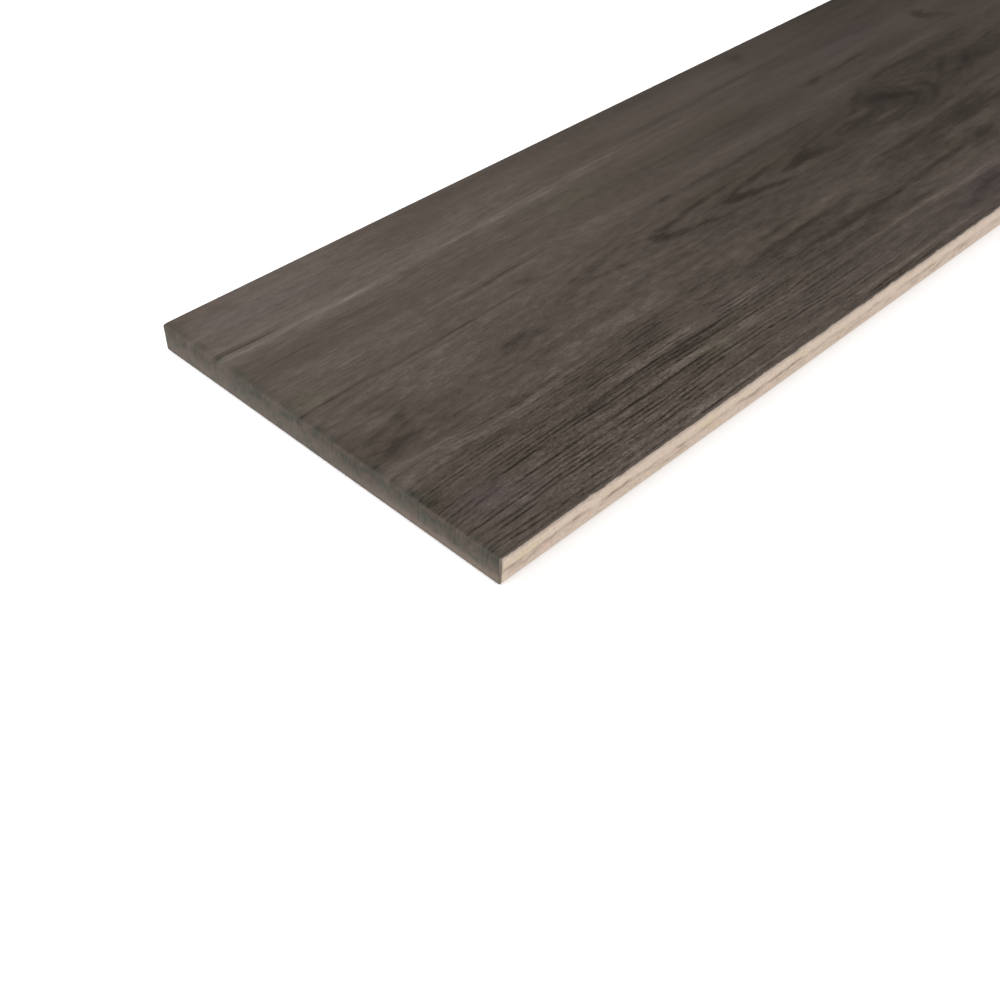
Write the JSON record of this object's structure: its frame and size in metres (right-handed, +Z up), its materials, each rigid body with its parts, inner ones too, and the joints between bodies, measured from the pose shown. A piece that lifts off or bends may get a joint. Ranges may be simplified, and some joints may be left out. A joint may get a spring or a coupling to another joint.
{
  "type": "wood look porcelain plank tile",
  "caption": "Flat rectangular porcelain plank tile with a wood grain face, rolled pressed ends, squared long sides and a keyed back for bedding in mortar.",
  "frame": {"origin": "centre of the underside, on the plane of the back's rib crests that the tile beds on", "axes": "+X along the plank and its grain, +Y across its width, +Z up out of the glazed face"},
  "size_m": [0.6, 0.15, 0.01],
  "materials": {
    "glazed_porcelain": "matte"
  },
  "bodies": {
    "root": {"plank_tile": "glazed_porcelain"}
  },
  "joints": []
}
